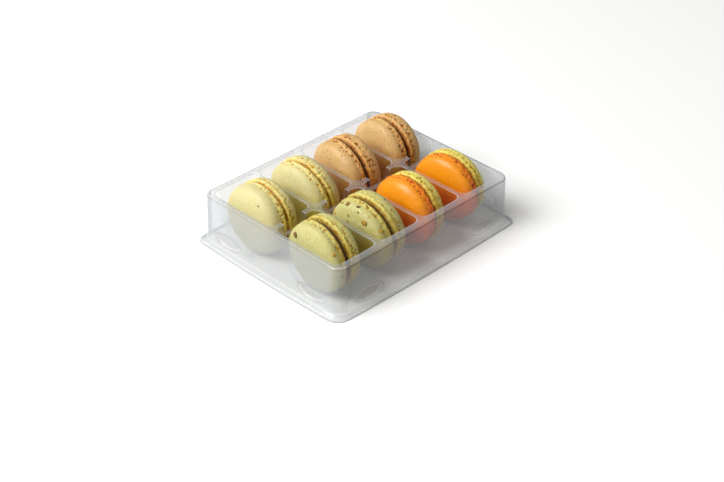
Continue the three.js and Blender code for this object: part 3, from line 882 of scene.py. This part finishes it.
# The levels between which the painted shade comes in, tinted like light from a neighbour, on the foot
# and on the dome. A dome at an end of the tray has no neighbour, and takes less of it.
foot_sunk, dome_sunk = (47.0, 26.0), (37.0, 23.0)
end_dome_sunk = 0.2


def below(level, levels):
    """0 above the first of two levels, growing to 1 at the second."""
    return np.clip((levels[0] - level) / (levels[0] - levels[1]), 0, 1)


for number, macaron in enumerate(macarons, start=1):
    own_kind = macaron["kind"]
    back_kind = "lime" if own_kind == "amber" else own_kind
    for side, sign, kind, share_cratered in zip(("front", "back"), (-1, 1), (own_kind, back_kind),
                                                cratered[own_kind]):
        points, quads, foot_mark, pit_mark = shell_surface(
            macaron, macaron[side], share_cratered, number, 200 * number + 100 * (sign > 0))
        points = stand(points * [sign, 1, 1], macaron)
        at_end = (macaron["slot"], side) in ((0, "front"), (pockets_per_row - 1, "back"))
        level = points[..., 2]
        # Painted shade low down, weaker on a dome at an end of the tray
        sunk = np.maximum(foot_mark * below(level, foot_sunk),
                          (end_dome_sunk if at_end else 1.0) * below(level, dome_sunk))
        node = f"{macaron['name']}_{side}"
        shell = make_piece(f"{node}_shell", [(points, quads)], foot=foot_mark, pit=pit_mark, sunk=sunk)
        shell.data.materials.append(shell_finishes[kind])
        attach(shell, "root")
        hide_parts(node)


# The fillings
# A thin layer piped between two shells: dark chocolate ganache in the brown and green ones, and a
# yellow-brown cream in the others. It stops short of the edge and its rim is uneven.
filling_recess = {"yellow": 2.3, "brown": 3.6, "green": 3.6, "amber": 1.8}
filling_rise = 0.8
filling_gap = 0.02
filling_flat = 1.6
filling_rim_rows = 11
rim_bulge, rim_roundness = 0.25, 0.45
rim_waves, rim_lumps = (0.35, 3.0), (0.18, 1.0)
cream_lumps = 420


def filling_surface(macaron, seed):
    """A disc about the X axis whose rim is a half round, moved in and out by noise. Its rows run from
    the middle of one face, over the rim, to the middle of the other."""
    half = macaron["seam"] / 2 - filling_gap
    edge = macaron["radius"] - filling_recess[macaron["kind"]]
    turn = np.linspace(-math.pi / 2, math.pi / 2, filling_rim_rows)
    flat = [0.0, 0.5 * edge, edge - filling_flat]
    bulge = rim_roundness * half + rim_bulge
    distance = np.concatenate([flat, edge - bulge + bulge * np.cos(turn), flat[::-1]])
    height = np.concatenate([[-half] * len(flat), half * np.sin(turn), [half] * len(flat)])
    angle = full_turn(around)
    distance = distance[:, None]
    reach = distance + outline_push(angle, distance / edge, seed) * (distance > 0)
    points = together(height[:, None] + 0 * angle, reach * np.cos(angle), reach * np.sin(angle))
    wobble = bumps(points * [0.3, 1, 1], rim_waves, 900 + seed) + bumps(points, rim_lumps, 950 + seed)
    rim = np.clip((distance - edge + 2.0) / 1.5, 0, 1)
    points = points + unit(points * [0, 1, 1]) * (wobble * rim)[..., None] + [0, 0, filling_rise]
    return points, grid_quads(len(distance), around, True)


def cream_finish(name, colour, shade, rough):
    """A set cream: two close tones, low lumps and a soft sheen."""
    finish = Finish(name, Roughness=rough)
    lumps = finish.noise(cream_lumps, 4)
    finish.set(Base_Color=finish.blend(lumps, linear(*colour), linear(*shade)))
    finish.relief(lumps, 0.3)
    return finish.material


cream_finishes = {
    "yellow": cream_finish("lemon_cream", (204, 150, 56), (168, 110, 20), 0.75),
    "brown": cream_finish("caramel_ganache", (120, 70, 28), (84, 44, 14), 0.7),
    "green": cream_finish("pistachio_ganache", (112, 76, 30), (72, 42, 12), 0.7),
    "amber": cream_finish("orange_cream", (206, 108, 6), (156, 72, 4), 0.75),
}
for number, macaron in enumerate(macarons, start=1):
    node = f"{macaron['name']}_filling"
    points, quads = filling_surface(macaron, number)
    cream = make_piece(f"{node}_cream", [(stand(points, macaron), quads)])
    cream.data.materials.append(cream_finishes[macaron["kind"]])
    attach(cream, "root")
    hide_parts(node)


# The nut flakes
# Chips of roasted pistachio skin and kernel, sprinkled on the green shells before baking and half sunk
# in them; one small dark chip lies on a yellow shell.
chip_rows, chip_columns = 9, 14
chip_bumps = (0.36, 1.6)
chip_thickness, chip_thickens = 0.25, 0.14
narrow_chip, chip_widens = 0.6, 0.25
chip_lift = 0.1
nut_mottle = 900

# Each chip's angle about the axis from +Y towards +Z, reach from the axis as a share of the radius,
# half length and darkness
flakes = {
    ("yellow_a", "front"): [(120, 0.79, 0.5, 1.6)],
    ("green_a", "front"): [(46, 0.78, 2.1, 0.75), (146, 0.97, 1.2, 0.0), (22, 0.49, 0.8, 0.6)],
    ("green_a", "back"): [(75, 0.985, 0.8, 0.5), (115, 0.985, 0.6, 0.3)],
    ("green_b", "front"): [
        (119, 0.78, 2.2, 0.3), (72, 0.97, 1.6, 0.6), (58, 0.985, 0.8, 0.8), (93, 0.985, 1.1, 0.75),
        (30, 0.97, 1.2, 0.3), (32, 0.87, 0.9, 0.2), (68, 0.54, 1.0, 0.3), (76, 0.71, 0.8, 0.2),
        (98, 0.9, 0.6, 0.5), (147, 0.985, 1.5, 0.1)],
    ("green_b", "back"): [(71, 0.985, 0.7, 0.6), (110, 0.985, 0.6, 0.6)],
}


def flake_patch(macaron, side, degrees, reach, size, darkness, random):
    """A chip: a ball pulled long and flat with a bumpy outline, laid along the dome at its place."""
    thickness, sign = macaron[side], -1 if side == "front" else 1
    radius, fullness = macaron["radius"], macaron["fullness"]
    start = macaron["seam"] / 2 + foot_height
    rise = thickness - start
    height = (1 - reach ** fullness) ** (1 / fullness)
    along_y, along_z = math.cos(math.radians(degrees)), math.sin(math.radians(degrees))
    steep = reach ** (fullness - 1)
    normal = Vector((sign * height ** (fullness - 1) / rise, along_y * steep / radius,
                     along_z * steep / radius)).normalized()
    place = np.array([sign * (start + rise * height), radius * reach * along_y, radius * reach * along_z])
    polar = np.linspace(0, math.pi, chip_rows)[:, None]
    angle = full_turn(chip_columns)[None, :]
    ball = together(np.cos(polar) + 0 * angle, np.sin(polar) * np.cos(angle), np.sin(polar) * np.sin(angle))
    ball *= 1 + bumps(ball * 3 + random.random(3) * 20, chip_bumps, 70)[..., None]
    ball = ball * [chip_thickness + chip_thickens * size, size,
                   size * (narrow_chip + chip_widens * random.random())]
    spin = Matrix.Rotation(random.random() * math.pi, 3, "X")
    lie = Vector((1, 0, 0)).rotation_difference(normal).to_matrix()
    chip = ball @ np.array(lie @ spin).T + place + np.array(normal) * chip_lift
    chip[0], chip[-1] = chip[0].mean(axis=0), chip[-1].mean(axis=0)
    darkness = np.full(chip_rows * chip_columns, darkness)
    return stand(chip, macaron), grid_quads(chip_rows, chip_columns, True), darkness


def nut_finish():
    """Roasted nut: golden to olive brown by each chip's own darkness, mottled, with a low grain."""
    finish = Finish("roasted_nut", Roughness=0.6)
    mottle = finish.noise(nut_mottle)
    darkness = finish.maths("ADD", finish.mark("darkness"), -0.4)
    darkness = finish.maths("MULTIPLY_ADD", mottle, 0.8, darkness)
    tone = finish.give(finish.add("ShaderNodeValToRGB"), Fac=darkness)
    ramp = tone.color_ramp
    ramp.elements[0].color = linear(184, 136, 28)
    ramp.elements[1].color = linear(72, 50, 8)
    ramp.elements.new(0.5).color = linear(134, 100, 20)
    finish.set(Base_Color=tone.outputs["Color"])
    finish.relief(mottle, 0.2)
    return finish.material


nut = nut_finish()
for macaron in macarons:
    for side in ("front", "back"):
        own = flakes.get((macaron["name"], side))
        if own:
            random = np.random.default_rng(len(own) + 7 * macaron["slot"])
            node = f"{macaron['name']}_{side}"
            patches = [flake_patch(macaron, side, *flake, random) for flake in own]
            chips = make_piece(f"{node}_flakes", patches, darkness=np.concatenate([p[2] for p in patches]))
            chips.data.materials.append(nut)
            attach(chips, "root")
            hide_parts(node)


# The table and the light
# A white table under a white surround, with one large soft light high on the left behind the tray,
# so that the skirt's left face is bright, the right one is grey, and a soft shadow falls to the right.
table_size = 4.0
table_drop = 0.02
key_place = Vector((-1.5, 0.66, 1.72))
key_aim = Vector((0, 0, 0.02))
key_size = 1.4
key_power = 78.5
surround_colour = (1.0, 0.985, 0.95, 1)
surround_strength = 0.37

table_mesh = bpy.data.meshes.new("table")
table_corners = [(x * table_size, y * table_size, 0) for x, y in ((-1, -1), (1, -1), (1, 1), (-1, 1))]
table_mesh.from_pydata(table_corners, [], [(0, 1, 2, 3)])
table = add_object("table", table_mesh)
table.location = (0, 0, -table_drop * MM)
white_table = Finish("white_table", Base_Color=(0.88, 0.88, 0.88, 1), Roughness=0.9, Specular_IOR_Level=0.1)
table_mesh.materials.append(white_table.material)

key_data = bpy.data.lights.new("key", "AREA")
key_data.size = key_size
key_data.energy = key_power
key = add_object("key", key_data)
key.location = key_place
key.rotation_euler = (key_place - key_aim).to_track_quat("Z", "Y").to_euler()

world = bpy.data.worlds.new("surround")
scene.world = world
world.use_nodes = True
surround = world.node_tree.nodes["Background"]
surround.inputs["Color"].default_value = surround_colour
surround.inputs["Strength"].default_value = surround_strength
scene.view_settings.view_transform = "Standard"
scene.cycles.transparent_max_bounces = 32
